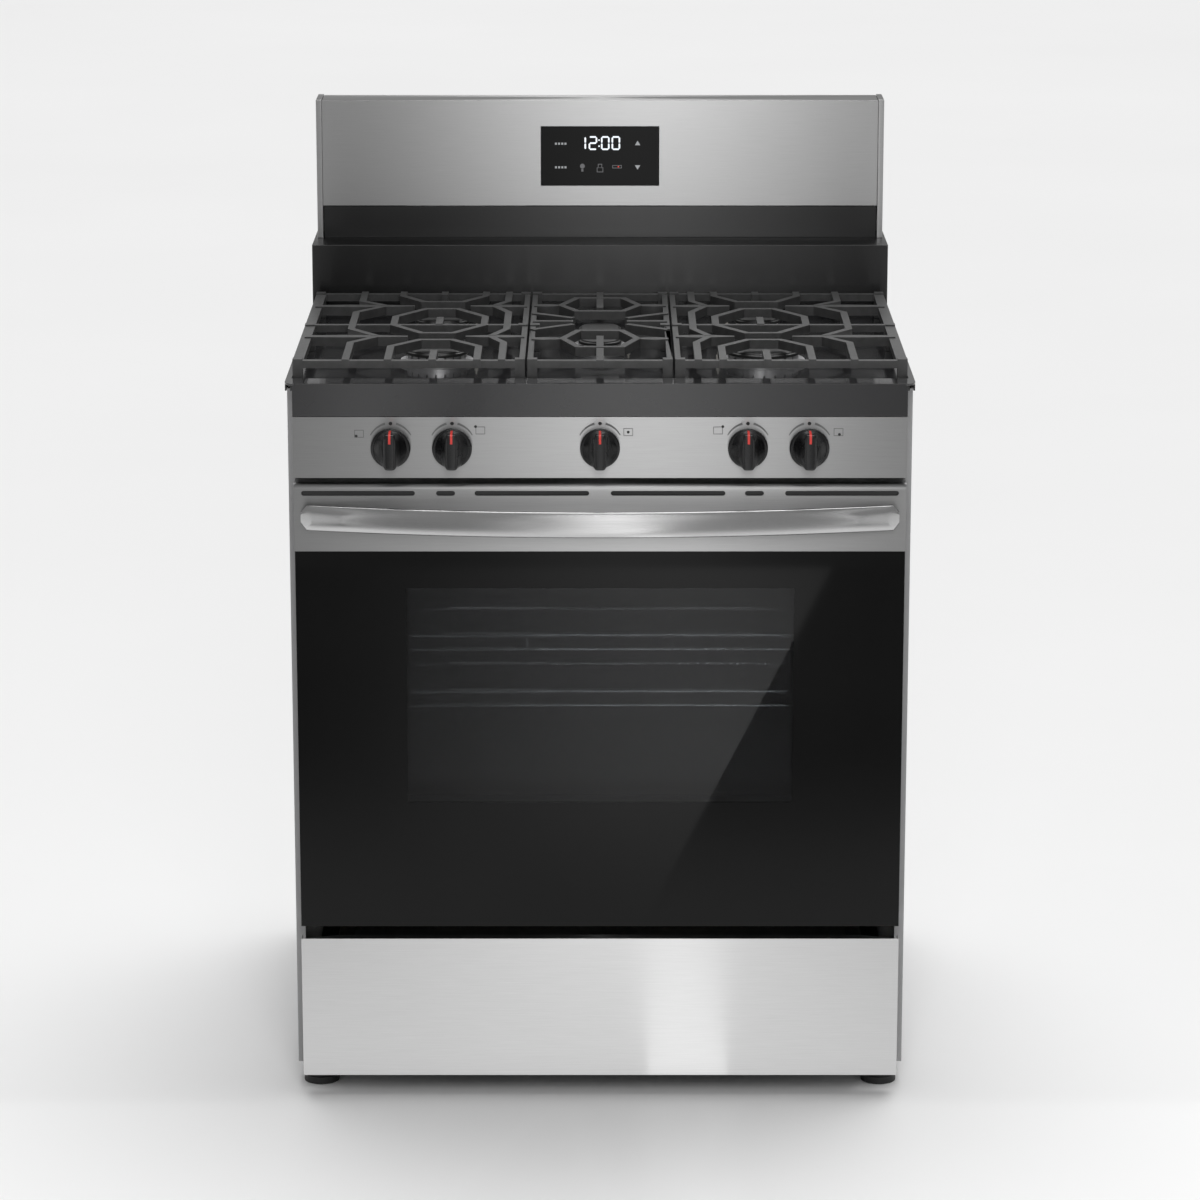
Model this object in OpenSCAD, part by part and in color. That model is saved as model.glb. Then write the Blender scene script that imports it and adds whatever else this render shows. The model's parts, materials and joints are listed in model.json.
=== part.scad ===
// Freestanding gas range, 30 inch class, with sealed burners, a drop-down oven door and a drawer.
// Millimetres. X points to the right, Y to the back and Z up.
// The origin is on the floor, under the middle of the outer box.

/* [Overall size] */
// Width over the two side panels
body_w = 759; // [740:1:780]
// Depth from the front of the door handle to the back cover
overall_d = 724; // [710:1:740]
// Height of the backguard's top edge above the floor
overall_h = 1167; // [1150:1:1190]
// Width of the door, drawer and control panel
front_w = 740; // [730:1:742]
// Distance that the handle stands in front of the door
handle_reach = 55; // [50:1:60]

/* [Front] */
// Height of the drawer front's lower edge
drawer_z0 = 26; // [24:1:30]
// Height of the drawer front's upper edge
drawer_z1 = 205; // [200:1:206]
// Height of the door's lower edge
door_z0 = 221; // [220:1:223]
// Height where the door's glass meets its steel trim
door_glass_z1 = 698; // [690:1:705]
// Height of the door's upper edge
door_z1 = 782; // [780:1:784]
// Height of the control panel's lower edge
panel_z0 = 789; // [788:1:792]
// Height of the control panel's upper edge
panel_z1 = 864; // [860:1:866]
// Thickness of the whole door
door_t = 45; // [45:1:46]
// Thickness of pressed steel sheet
sheet = 1.2; // [1:0.1:1.5]

/* [Door hinge and handle] */
// Radius of the hinge pins
pin_r = 4; // [3.5:0.5:5]
// Radial clearance of the hinge pins in the arms
pin_gap = 0.05; // [0.03:0.01:0.1]
// Height of the handle bar's section
handle_h = 32; // [28:1:34]
// Thickness of the handle bar's section
handle_t = 12; // [10:1:13]
// How far the handle bows out between its ends
handle_bow = 42; // [38:1:42]

/* [Cooktop] */
// Height of the cooktop's rim
rim_z = 904.5; // [900:0.5:908]
// Height of the well floor in the cooktop
well_z = 892; // [890:1:893]
// Height of the grates' upper surface
grate_z = 926; // [922:1:930]
// Width of a grate's fingers
bar_w = 9; // [8:0.5:11]
// Width of a grate's outer bars
frame_w = 13; // [11:0.5:15]
// Distance of the side burners' centres from the middle
burner_x = 203; // [198:1:208]
// Distance of the front and rear burners from the middle line
burner_y = 107; // [104:1:110]
// Radius of a knob's skirt
knob_r = 24; // [22:0.5:26]

/* [Backguard] */
// Height of the ledge on top of the black splash panel
ledge_z = 983; // [978:1:988]
// Height of the steel head's lower edge
head_z0 = 1026; // [1022:1:1030]
// Width of the clock's glass
display_w = 156; // [150:1:160]

/* [Hidden] */
$fn = 48;
half_w = body_w / 2;
front_x = front_w / 2;
back_y = overall_d / 2;
face_y = -back_y + handle_reach;
door_y1 = face_y + door_t;
flange_y = door_y1 + 6;
frame_y = flange_y + 1;
frame_back = frame_y + 2;
shell_back = back_y - 2;
shell_top = well_z + 1;

// Hinge line of the door
hinge_y = face_y + 22;
hinge_z = door_z0 + 15;
hinge_x = 340;
arm_t = 6;
notch = 9.8;

// Handle's ends, height and arc, then the trim's vent slots and rolled edge
handle_x = 362;
handle_z = 742;
handle_R = (handle_x * handle_x + handle_bow * handle_bow) / (2 * handle_bow);
vents = [[13, 151.5], [175, 198], [223.5, 361]];
vent_h = 6;
roll_r = 7;

// Oven
oven_x = 306;
oven_back = 235;
oven_z = [268, 726];
oven_t = 1.5;
mouth_x = 300;
mouth_z = [300, 722];
rack_z = [500, 572];
rack_x = 294;
window_x = 236;
window_z = [381, 652];

// Controls: the five knobs, from left to right
knob_z = 827;
knob_x = [-252, -178, 0, 178, 252];
stem_r = 3.5;
stem_gap = 0.05;
stem_flat = 2.3;
knob_y = [face_y - 35, face_y - 4.5];
manifold_y = -243;
manifold_r = 10.7;

// Burners: [x, y, radius of the cap, half length of the straight part]
burners = [[-burner_x, -burner_y, 40, 0], [-burner_x, burner_y, 36, 0], [0, 0, 27, 42],
           [burner_x, burner_y, 30, 0], [burner_x, -burner_y, 47, 0]];
throat_r = 22;
base_z = [866, well_z, well_z + 5, well_z + 13, well_z + 19];

// Cooktop, splash panel and head
cook_back = 238.5;
well_x = half_w - 7;
well_y = [-272, 228];
splash_y = 240;
recess_y = 306;
head_y = 300;
cap_x = half_w - 4;
head_x = cap_x - 7.5;
display_z = [1053, 1132];

// Grates: depth of the fingers, then the rails, which lie a little lower than the posts at their ends
finger_h = 11;
rail_drop = 2;
rail_h = 9;
rail_w = 10;
inner_w = 7;
nub = 1.2;
post_w = 12;
grate_gap = 0.3;
grate_y = [-262, 211];
grate_mid = -24;
side_grate_x = [91, 372];
mid_grate_x = 88;

// Drawer, legs and services
box_x = 335;
box_y = [face_y + 18, 255];
box_z = [44, 150];
leg_x = 351;
leg_y = [-248, 300];
foot_r = 22;
inlet_r = 10.67;
inlet_at = [300, 120];
cord_at = [-300, 120];
cord_r = 5.5;
screw_r = 2;
screw_z = [80, 234, 388, 542, 696, 850];
side_hole_x = half_w - 11;

// ---- Shared shapes ----

// A box from its limits along X, Y and Z
module block(x, y, z) {
    translate([x[0], y[0], z[0]]) cube([x[1] - x[0], y[1] - y[0], z[1] - z[0]]);
}

// The children and their mirror image on the other side
module both_sides() {
    children();
    mirror([1, 0, 0]) children();
}

// Round rods along each axis
module rod_x(x, y, z, r) {
    translate([x[0], y, z]) rotate([0, 90, 0]) cylinder(h = x[1] - x[0], r = r);
}
module rod_y(x, y, z, r) {
    translate([x, y[0], z]) rotate([-90, 0, 0]) cylinder(h = y[1] - y[0], r = r);
}
module rod_z(x, y, z, r) {
    translate([x, y, z[0]]) cylinder(h = z[1] - z[0], r = r);
}

// A tube run through the given points, with a round fitting at each corner
module tube_run(points, r, fitting_r) {
    for (i = [0 : len(points) - 2]) {
        step = points[i + 1] - points[i];
        turn = atan2(step[1], step[0]);
        tilt = acos(step[2] / norm(step));
        translate(points[i]) rotate([0, tilt, turn]) cylinder(h = norm(step), r = r);
    }
    for (i = [1 : len(points) - 2]) translate(points[i]) sphere(r = fitting_r);
}

// A range given relative to a centre
function about(c, range) = [c + range[0], c + range[1]];

// Points of an arc in the XY plane
function arc(centre, r, from, to, n) =
    [for (i = [0 : n]) let (a = from + (to - from) * i / n) centre + r * [cos(a), sin(a)]];

// Outline of a slot along Y: straight for half_len each way, with round ends
function slot_outline(r, half_len, n = 16) =
    concat(arc([0, half_len], r, 0, 180, n), arc([0, -half_len], r, 180, 360, n));

// A burner's disc: round, or lengthened along Y
module disc(b, r, z) {
    translate([b[0], b[1], z[0]]) {
        if (b[3] == 0) cylinder(h = z[1] - z[0], r = r);
        if (b[3] > 0) linear_extrude(z[1] - z[0]) polygon(slot_outline(r, b[3]));
    }
}

// Unit normal on the left of the line from p to q
function left_of(p, q) = let (d = (q - p) / norm(q - p)) [-d[1], d[0]];

// Point i of a line moved sideways by w, mitred at its corners
function moved(points, i, w, closed) = let (
    n = len(points),
    last = points[closed ? (i + n - 1) % n : max(i - 1, 0)],
    next = points[closed ? (i + 1) % n : min(i + 1, n - 1)],
    here = points[i],
    n1 = last == here ? left_of(here, next) : left_of(last, here),
    n2 = next == here ? n1 : left_of(here, next),
    m = (n1 + n2) / norm(n1 + n2))
    here + m * w / (m * n1);
function side_line(points, w, closed = false) = [for (i = [0 : len(points) - 1]) moved(points, i, w, closed)];
function reversed(list) = [for (i = [len(list) - 1 : -1 : 0]) list[i]];

// A layer of a casting: its upper face is drop below the grate's top, and it is h deep
module layer(drop, h) {
    translate([0, 0, grate_z - drop - h]) linear_extrude(h) children();
}

// A bar that follows a line of points in plan
module bar(points, w = bar_w, drop = 0, h = finger_h) {
    layer(drop, h) polygon(concat(side_line(points, w / 2), reversed(side_line(points, -w / 2))));
}

// A closed ring of bars through points given anticlockwise
module ring(points) {
    layer(0, finger_h) difference() {
        polygon(side_line(points, -bar_w / 2, true));
        polygon(side_line(points, bar_w / 2, true));
    }
}

// ---- Body ----

module base_frame() {
    rail_z = [24, 42];
    side_rail = [[half_w - sheet - 34, half_w - sheet], [-250, 350]];
    color("dimgray") difference() {
        union() {
            both_sides() block(side_rail[0], side_rail[1], rail_z);
            for (y = [[-250, -226], [326, 350]])
                block([-side_rail[0][0] - 1, side_rail[0][0] + 1], y, rail_z);
        }
        both_sides()
            block([side_rail[0][0] + 2, side_rail[0][1] - 2], [-222, 322], [rail_z[0] - 1, rail_z[1] - 2]);
        for (y = [[-248, -228], [328, 348]])
            block([-side_rail[0][0] + 4, side_rail[0][0] - 4], y, [rail_z[0] - 1, rail_z[1] - 2]);
        for (y = leg_y) both_sides() rod_z(leg_x, y, [20, 50], 5.2);
    }
}

module levelling_legs() {
    color([0.1, 0.1, 0.1]) for (y = leg_y, s = [-1, 1]) {
        rod_z(s * leg_x, y, [0, 9], foot_r);
        translate([s * leg_x, y, 9]) cylinder(h = 6, r1 = foot_r - 3, r2 = 9);
        translate([s * leg_x, y, 15]) cylinder(h = 8, r = 9, $fn = 6);
        rod_z(s * leg_x, y, [23, 43], 5);
    }
}

// Right-hand side panel: skin with a return along the front and the back edge
module side_sheet() {
    skin_x = half_w - sheet;
    difference() {
        union() {
            block([skin_x, half_w], [flange_y, shell_back], [drawer_z0, shell_top]);
            block([front_x - 2, half_w], [flange_y, flange_y + sheet], [drawer_z0, well_z - 3]);
            block([skin_x - 18, half_w], [shell_back - sheet, shell_back], [drawer_z0, shell_top]);
        }
        for (z = screw_z) rod_y(side_hole_x, [shell_back - 9, shell_back + 1], z, screw_r);
    }
}
module side_panel_left() color([0.62, 0.62, 0.63]) mirror([1, 0, 0]) side_sheet();
module side_panel_right() color([0.62, 0.62, 0.63]) side_sheet();

module rear_panel() {
    y = [shell_back - 2 * sheet, shell_back - sheet];
    color([0.7, 0.7, 0.7]) difference() {
        block([-half_w + sheet + 0.5, half_w - sheet - 0.5], y, [drawer_z0, shell_top]);
        both_sides() for (z = screw_z) rod_y(side_hole_x, [y[0] - 1, y[1] + 1], z, screw_r);
        rod_y(inlet_at[0], [y[0] - 1, y[1] + 1], inlet_at[1], 16);
        rod_y(cord_at[0], [y[0] - 1, y[1] + 1], cord_at[1], 9);
        for (i = [0 : 7], s = [-1, 1])
            block(about(s * 190, [-70, 70]), [y[0] - 1, y[1] + 1], about(700 + i * 18, [0, 6]));
    }
}

module front_frame() {
    z = [door_z0 - 12, panel_z0 - 3];
    slot_z = about(hinge_z, [-9, 9]);
    color([0.12, 0.12, 0.12]) difference() {
        block([-front_x + 2.5, front_x - 2.5], [frame_y, frame_back], z);
        block([-mouth_x, mouth_x], [frame_y - 1, frame_back + 1], mouth_z);
        both_sides()
            block(about(hinge_x, [-arm_t / 2 - 0.5, arm_t / 2 + 0.5]), [frame_y - 1, frame_back + 1], slot_z);
    }
}

// Arm with its receiver, and the bore that carries the door's hinge pin
module hinge_arms() {
    color("silver") both_sides() difference() {
        union() {
            block(about(hinge_x, [-arm_t / 2, arm_t / 2]), [hinge_y, frame_back + 44],
                about(hinge_z, [-8, 8]));
            block(about(hinge_x, [-10, 10]), [frame_back, frame_back + 40], about(hinge_z, [-13, 13]));
            rod_x(about(hinge_x, [-arm_t / 2, arm_t / 2]), hinge_y, hinge_z, 9);
        }
        rod_x(about(hinge_x, [-arm_t, arm_t]), hinge_y, hinge_z, pin_r + pin_gap);
    }
}

// ---- Oven ----

module oven_liner() {
    inner_x = oven_x - oven_t;
    color([0.15, 0.16, 0.2]) difference() {
        block([-oven_x, oven_x], [frame_back, oven_back], oven_z);
        block([-inner_x, inner_x], [frame_back - 1, oven_back - oven_t], oven_z + [oven_t, -oven_t]);
        // Flue opening in the ceiling, at the back
        block([-70, 70], [oven_back - 45, oven_back - 15], [oven_z[1] - 5, oven_z[1] + 1]);
    }
}

module oven_insulation() {
    color([0.85, 0.8, 0.55]) difference() {
        block([-338, 338], [-205, oven_back + 30], [240, oven_z[1] + 28]);
        block([-oven_x, oven_x], [-206, oven_back], oven_z);
        block([-75, 75], [oven_back - 50, oven_back - 10], [oven_z[1] - 1, oven_z[1] + 30]);
    }
}

// Woven rope seal around the mouth of the oven
module door_gasket() {
    y = [frame_y - 6.5, frame_y];
    color([0.2, 0.2, 0.2]) difference() {
        block([-mouth_x - 14, mouth_x + 14], y, mouth_z + [-14, 12]);
        block([-mouth_x - 4, mouth_x + 4], [y[0] - 1, y[1] + 1], mouth_z + [-4, 2]);
    }
}

module oven_floor() {
    floor_x = oven_x - oven_t;
    z = [322, 323.5];
    color([0.15, 0.16, 0.2]) difference() {
        union() {
            block([-floor_x, floor_x], [frame_back + 8, oven_back - oven_t], z);
            block([-floor_x, floor_x], [frame_back + 8, frame_back + 9.5], [308, z[1]]);
        }
        for (s = [-1, 1], i = [0 : 7])
            block(about(s * 270, [-12, 12]), about(-170 + i * 48, [0, 22]), [z[0] - 1, z[1] + 1]);
    }
}

// Straight tube burner with a row of flame ports along each side
module tube_burner(y, z, r, ports) {
    difference() {
        union() {
            rod_y(0, y, z, r);
            rod_y(0, [y[1], oven_back - oven_t], z, r - 6);
        }
        for (i = [0 : ports - 1])
            rod_x([-r - 1, r + 1], y[0] + 25 + i * (y[1] - y[0] - 50) / (ports - 1), z + 3, 1.4);
    }
}
module bake_burner() color("silver") tube_burner([-190, 205], 294, 17, 20);
module broil_burner() color("silver") {
    tube_burner([-190, 205], 700, 13, 20);
    both_sides() block([2, 60], [-180, 195], [710, 711.5]);
}

// Wire ladders that carry the racks, one on each side wall
module rack_guides() {
    color("silver") both_sides() {
        for (y = [-185, 165]) rod_z(oven_x - oven_t - 3.1, y, [340, 660], 3.1);
        for (z = [352, 424, 496, 568, 640]) rod_y(rack_x + 3, [-225, 205], z - 4.1, 2.5);
    }
}

// Wire rack: outer frame, close front-to-back wires, and a drop rail along the front
module rack(z) {
    y = [-228, 205];
    wires = 17;
    both_sides() rod_y(rack_x - 1, y, z, 3.2);
    for (yy = [y[0] + 5, y[1] - 5]) rod_x([-rack_x + 3, rack_x - 3], yy, z, 3.4);
    for (yy = [-80, 60]) rod_x([-rack_x + 3, rack_x - 3], yy, z - 2.5, 2.4);
    for (i = [1 : wires])
        rod_y(-rack_x + 3 + i * 2 * (rack_x - 3) / (wires + 1), [y[0] + 4, y[1] - 4], z + 0.4, 1.9);
    rod_x([-rack_x + 22, rack_x - 22], y[0] + 5, z - 18, 2.6);
    for (s = [-1, 1]) for (x = [90, 262]) rod_z(s * x, y[0] + 5, [z - 18.5, z], 2.2);
}
module oven_racks() color("silver") for (z = rack_z) rack(z);

module oven_lamp() {
    y = oven_back - oven_t;
    color([0.95, 0.9, 0.8]) {
        rod_y(-230, [y - 8, y], 660, 30);
        translate([-230, y - 8, 660]) rotate([90, 0, 0]) cylinder(h = 14, r1 = 25, r2 = 17);
    }
}

module burner_box() {
    z = panel_z0 - 3;
    color([0.5, 0.5, 0.5]) {
        block([-half_w + 4, half_w - 4], [frame_back + 2, oven_back], [z, z + 1.5]);
        for (y = [frame_back + 2, oven_back - 1.5])
            block([-half_w + 4, half_w - 4], [y, y + 1.5], [z + 1.5, z + 14]);
    }
}

// ---- Cooktop ----

// Outline of the cooktop with rounded front corners
function cook_outline(r) = concat(
    [[half_w, cook_back], [-half_w, cook_back]],
    arc([-half_w + r, face_y + r], r, 180, 270, 6),
    arc([half_w - r, face_y + r], r, 270, 360, 6));

module cooktop() {
    rim_t = 2.5;
    color([0.08, 0.08, 0.08]) {
        difference() {
            union() {
                translate([0, 0, rim_z - rim_t]) linear_extrude(rim_t) polygon(cook_outline(14));
                block([-well_x - 2, well_x + 2], well_y + [-2, 2], [well_z - 2.5, rim_z - 1]);
            }
            block([-well_x, well_x], well_y, [well_z, rim_z + 1]);
            for (b = burners) rod_z(b[0], b[1], [well_z - 5, well_z + 1], throat_r + 0.4);
        }
        // Apron down the front, to the control panel
        difference() {
            block([-front_x, front_x], [face_y, face_y + 14], [panel_z1 + 0.6, rim_z - rim_t]);
            block([-front_x + 2, front_x - 2], [face_y + 2, face_y + 15], [panel_z1, rim_z - rim_t - 3]);
        }
        both_sides() block([half_w - 2, half_w], [face_y + 16, cook_back], [shell_top, rim_z - rim_t]);
    }
}

// Burner base: throat below the cooktop, seat on it, and a crown with flame ports
module burner_base(b) {
    r = b[2];
    ports = b[3] > 0 ? 0 : 20;
    difference() {
        union() {
            rod_z(b[0], b[1], [base_z[0], base_z[1] + 1], throat_r);
            disc(b, r + 5, [base_z[1], base_z[2]]);
            disc(b, r - 3, [base_z[2] - 1, base_z[3]]);
        }
        disc(b, r - 8, [base_z[2], base_z[3] + 1]);
        for (i = [0 : 1 : ports - 1])
            translate([b[0], b[1], base_z[3] - 4.5]) rotate([0, 0, i * 360 / ports])
                translate([r - 10, -1.2, 0]) cube([10, 2.4, 5]);
        if (b[3] > 0)
            for (i = [-4 : 4])
                block(about(b[0], [-r - 1, r + 1]), about(b[1] + i * 10, [-1.2, 1.2]),
                    [base_z[3] - 4.5, base_z[3] + 1]);
    }
}
module burner_bases() color([0.75, 0.75, 0.76]) for (b = burners) burner_base(b);

module burner_caps() {
    color([0.06, 0.06, 0.06]) for (b = burners) {
        disc(b, b[2], [base_z[3], base_z[4] - 2]);
        disc(b, b[2] - 3, [base_z[4] - 2, base_z[4]]);
    }
}

module igniters() {
    color("white") for (b = burners) {
        x = b[0] + (b[0] > 0 ? -1 : 1) * (b[2] + 9);
        rod_z(x, b[1], [well_z, base_z[3] - 3], 2.6);
        rod_z(x, b[1], [base_z[3] - 3, base_z[3] + 1], 1.1);
    }
}

// ---- Gas ----

module gas_manifold() color("silver") rod_x([-335, 335], manifold_y, knob_z, manifold_r);

module gas_valves() {
    color([0.8, 0.68, 0.4]) for (x = knob_x) difference() {
        union() {
            rod_y(x, [face_y + 13, manifold_y - manifold_r], knob_z, 11);
            block(about(x, [-8, 8]), [face_y + 24, face_y + 44], about(knob_z, [0, 16]));
        }
        rod_y(x, [face_y + 12, face_y + 38], knob_z, stem_r + stem_gap);
    }
}

// A feed from each valve to its burner, and the riser from the regulator to the manifold
module gas_tubes() {
    tube_z = 853;
    feeds = [0, 1, 2, 3, 4];
    color([0.7, 0.7, 0.72]) {
        for (i = feeds) {
            b = burners[i];
            tube_run([[knob_x[i], face_y + 34, knob_z + 16], [knob_x[i], face_y + 34, tube_z],
                [b[0], b[1], tube_z], [b[0], b[1], base_z[0]]], 3, 3.8);
        }
        tube_run([[inlet_at[0], 300, inlet_at[1] + 26], [inlet_at[0], 300, 180], [358, 300, 180],
            [358, 300, knob_z], [358, manifold_y, knob_z], [335, manifold_y, knob_z]], 6.5, 8);
    }
}

module gas_regulator() {
    color([0.6, 0.6, 0.6]) {
        rod_z(inlet_at[0], 300, about(inlet_at[1], [-26, 26]), 24);
        rod_y(inlet_at[0], [310, back_y], inlet_at[1], inlet_r);
        translate([inlet_at[0], 336, inlet_at[1]]) rotate([-90, 0, 0]) cylinder(h = 12, r = 14.5, $fn = 6);
    }
}

module cord_bushing() {
    y = shell_back - 2 * sheet;
    color([0.1, 0.1, 0.1]) difference() {
        union() {
            rod_y(cord_at[0], [y - 8, back_y], cord_at[1], 9);
            rod_y(cord_at[0], [y - 8, y], cord_at[1], 12);
            rod_y(cord_at[0], [shell_back - sheet, back_y], cord_at[1], 12);
        }
        rod_y(cord_at[0], [y - 9, back_y + 1], cord_at[1], cord_r);
    }
}

// ---- Controls ----

// Folded tray whose ends reach back to the side panels
module control_panel() {
    color([0.6, 0.6, 0.6]) {
        difference() {
            block([-front_x, front_x], [face_y, face_y + 12], [panel_z0, panel_z1]);
            block([-front_x + sheet, front_x - sheet], [face_y + sheet, face_y + 13],
                [panel_z0 + sheet, panel_z1 - sheet]);
            for (x = knob_x) rod_y(x, [face_y - 1, face_y + 2], knob_z, 6);
        }
        both_sides() block([front_x - sheet, front_x], [face_y + sheet, flange_y - 0.5], [panel_z0, panel_z1]);
    }
}

// Round stem with a flat on the end that carries the knob
module stem(x) {
    color("silver") difference() {
        rod_y(x, [face_y - 22, face_y + 35], knob_z, stem_r);
        block(about(x, [-5, 5]), [face_y - 23, face_y], about(knob_z, [stem_flat, 6]));
    }
}

// Knob: a skirt, a drum with a grip bar across it, and a bore keyed to the stem's flat
module knob(x) {
    bore_y = [face_y - 26, knob_y[1] + 1];
    color([0.05, 0.05, 0.05]) difference() {
        union() {
            rod_y(x, [knob_y[1] - 7, knob_y[1]], knob_z, knob_r);
            rod_y(x, [knob_y[0] + 10, knob_y[1] - 6], knob_z, knob_r - 3);
            block(about(x, [-7, 7]), [knob_y[0], knob_y[0] + 11], about(knob_z, [-knob_r + 5, knob_r - 5]));
        }
        difference() {
            rod_y(x, bore_y, knob_z, stem_r + stem_gap);
            block(about(x, [-5, 5]), [bore_y[0] - 1, bore_y[1] + 1],
                about(knob_z, [stem_flat + stem_gap, 6]));
        }
    }
}

// ---- Backguard ----

// One bent sheet: splash front, ledge and the wall of the recess, with closed ends
module splash_panel() {
    color([0.05, 0.05, 0.05]) {
        block([-half_w, half_w], [splash_y, splash_y + sheet], [shell_top, ledge_z]);
        block([-half_w, half_w], [splash_y + sheet, shell_back], [ledge_z - sheet, ledge_z]);
        both_sides()
            block([half_w - sheet, half_w], [splash_y + sheet, shell_back], [shell_top, ledge_z - sheet]);
        block([-head_x + 0.5, head_x - 0.5], [recess_y, recess_y + sheet], [ledge_z, head_z0 - 1]);
    }
}

module backguard_head() {
    z = [head_z0, overall_h - sheet];
    color([0.75, 0.75, 0.75]) difference() {
        union() {
            block([-head_x, head_x], [head_y, head_y + sheet], z);
            block([-head_x, head_x], [head_y, shell_back], [z[1] - sheet, z[1]]);
            block([-head_x, head_x], [head_y, head_y + 26], [z[0], z[0] + sheet]);
        }
        block([-display_w / 2, display_w / 2], [head_y - 1, head_y + 3], display_z);
    }
}

module backguard_end_caps() {
    color([0.8, 0.8, 0.8]) both_sides() difference() {
        block([head_x, cap_x], [head_y - 1, shell_back], [ledge_z, overall_h]);
        block([head_x - 1, cap_x - sheet], [head_y + 1, shell_back + 1], [ledge_z - 1, overall_h - sheet]);
    }
}

module display_glass() {
    x = display_w / 2 - 0.2;
    color([0.05, 0.05, 0.06]) block([-x, x], [head_y - 1.5, head_y + 1.5], display_z + [0.2, -0.2]);
}

module control_board() {
    color([0.1, 0.35, 0.2]) {
        block([-88, 88], [head_y + 12, head_y + 13.6], [1050, 1136]);
        for (x = [-84, 84], z = [1058, 1128]) rod_y(x, [head_y + sheet, head_y + 12], z, 3);
        block([-60, -20], [head_y + 13.6, head_y + 33], [1064, 1100]);
        block([10, 62], [head_y + 13.6, head_y + 28], [1070, 1088]);
    }
}

module backguard_cover() {
    y = [shell_back, back_y];
    color([0.65, 0.65, 0.65]) difference() {
        block([-cap_x, cap_x], y, [shell_top, overall_h - 2]);
        for (i = [0 : 5], s = [-1, 1])
            block(about(s * 180, [-80, 80]), [y[0] - 1, y[1] + 1], about(935 + i * 16, [0, 5]));
    }
}

module rear_screws() {
    color("silver") for (z = screw_z, s = [-1, 1]) {
        rod_y(s * side_hole_x, [shell_back - 8, shell_back], z, screw_r);
        rod_y(s * side_hole_x, [shell_back, shell_back + 1.8], z, 4.2);
    }
}

// ---- Door ----

// Room for the hinge arms to turn in the door's lower rear corners
module arm_notch() {
    both_sides()
        block(about(hinge_x, [-notch / 2, notch / 2]), [hinge_y - 12, door_y1 + 5],
            [door_z0 - 1, hinge_z + 13]);
}

module door_glass() {
    color([0.03, 0.03, 0.04])
        block([-front_x + 0.4, front_x - 0.4], [face_y, face_y + 4], [door_z0 + 0.3, door_glass_z1 - 0.2]);
}

// Section in Y and Z whose upper front edge is rolled back
function rolled(y, z, r) =
    concat([[y[1], z[0]], [y[1], z[1]]], arc([y[0] + r, z[1] - r], r, 90, 180, 6), [[y[0], z[0]]]);

// A section in Y and Z, drawn out along X
module drawn_x(x, section) {
    translate([x[0], 0, 0]) rotate([90, 0, 90]) linear_extrude(x[1] - x[0]) polygon(section);
}

// Slot through the door's face with round ends
module vent(x) {
    r = vent_h / 2;
    mid = [(x[0] + x[1]) / 2, door_z1 - 9 - r];
    reach = (x[1] - x[0]) / 2 - r;
    translate([mid[0], face_y + 3, mid[1]]) rotate([90, 90, 0]) linear_extrude(4)
        polygon(slot_outline(r, reach, 6));
}

// Steel trim over the door's upper edge, with a row of vent slots
module door_trim() {
    inner = [[face_y + sheet, door_y1 - sheet], [door_glass_z1 - 1, door_z1 - sheet]];
    color([0.6, 0.6, 0.6]) difference() {
        drawn_x([-front_x, front_x], rolled([face_y, door_y1], [door_glass_z1, door_z1], roll_r));
        drawn_x([-front_x + sheet, front_x - sheet], rolled(inner[0], inner[1], roll_r - sheet));
        block([-front_x - 1, front_x + 1], [face_y + 30, door_y1 + 1], [door_glass_z1 - 1, door_z1 - 24]);
        both_sides() for (x = vents) vent(x);
    }
}

// Channels down both sides and along the bottom, with cheeks that hold the hinge pins
module door_frame() {
    web_x = front_x - 1.6;
    y = [face_y + 4, door_y1 - 2];
    z = [door_z0 + 0.3, door_glass_z1 - 0.5];
    color([0.1, 0.1, 0.1]) difference() {
        union() {
            both_sides() {
                block([web_x, web_x + 1.2], y, z);
                for (yy = [y[0], y[1] - 1.5]) block([web_x - 16, web_x + 1], [yy, yy + 1.5], z);
                for (x = [hinge_x - 11, hinge_x + 5])
                    block(about(x, [0, 6]), [y[0] + 1, y[1] - 1], [z[0], hinge_z + 20]);
            }
            block([-web_x - 1, web_x + 1], y, [z[0], z[0] + 1.5]);
            for (yy = [y[0], y[1] - 1.5]) block([-web_x, web_x], [yy, yy + 1.5], [z[0], z[0] + 16]);
        }
        arm_notch();
        both_sides() rod_x(about(hinge_x, [-13, 13]), hinge_y, hinge_z, pin_r);
    }
}

// Enamelled inner panel with a raised plug around the window
module door_liner() {
    plug_y = door_y1 + 3.5;
    color([0.12, 0.12, 0.14]) difference() {
        union() {
            block([-front_x + 3, front_x - 3], [door_y1 - 2, door_y1], [door_z0 + 1, door_z1 - 26]);
            block([-288, 288], [door_y1 - 2, plug_y], [324, 700]);
        }
        block([-281, 281], [door_y1 - 3, plug_y - 2], [331, 693]);
        block([-window_x, window_x], [door_y1 - 4, plug_y + 1], window_z);
        arm_notch();
    }
}

module door_inner_glass() {
    y = door_y1 - 2.5;
    color([0.3, 0.3, 0.3, 0.5])
        block([-window_x - 12, window_x + 12], [y, y + 4], window_z + [-12, 12]);
}

module door_insulation() {
    color([0.85, 0.8, 0.55]) difference() {
        block([-350, 350], [face_y + 6, door_y1 - 9], [262, 690]);
        block([-window_x - 4, window_x + 4], [face_y + 5, door_y1 - 8], window_z + [-4, 4]);
    }
}

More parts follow.
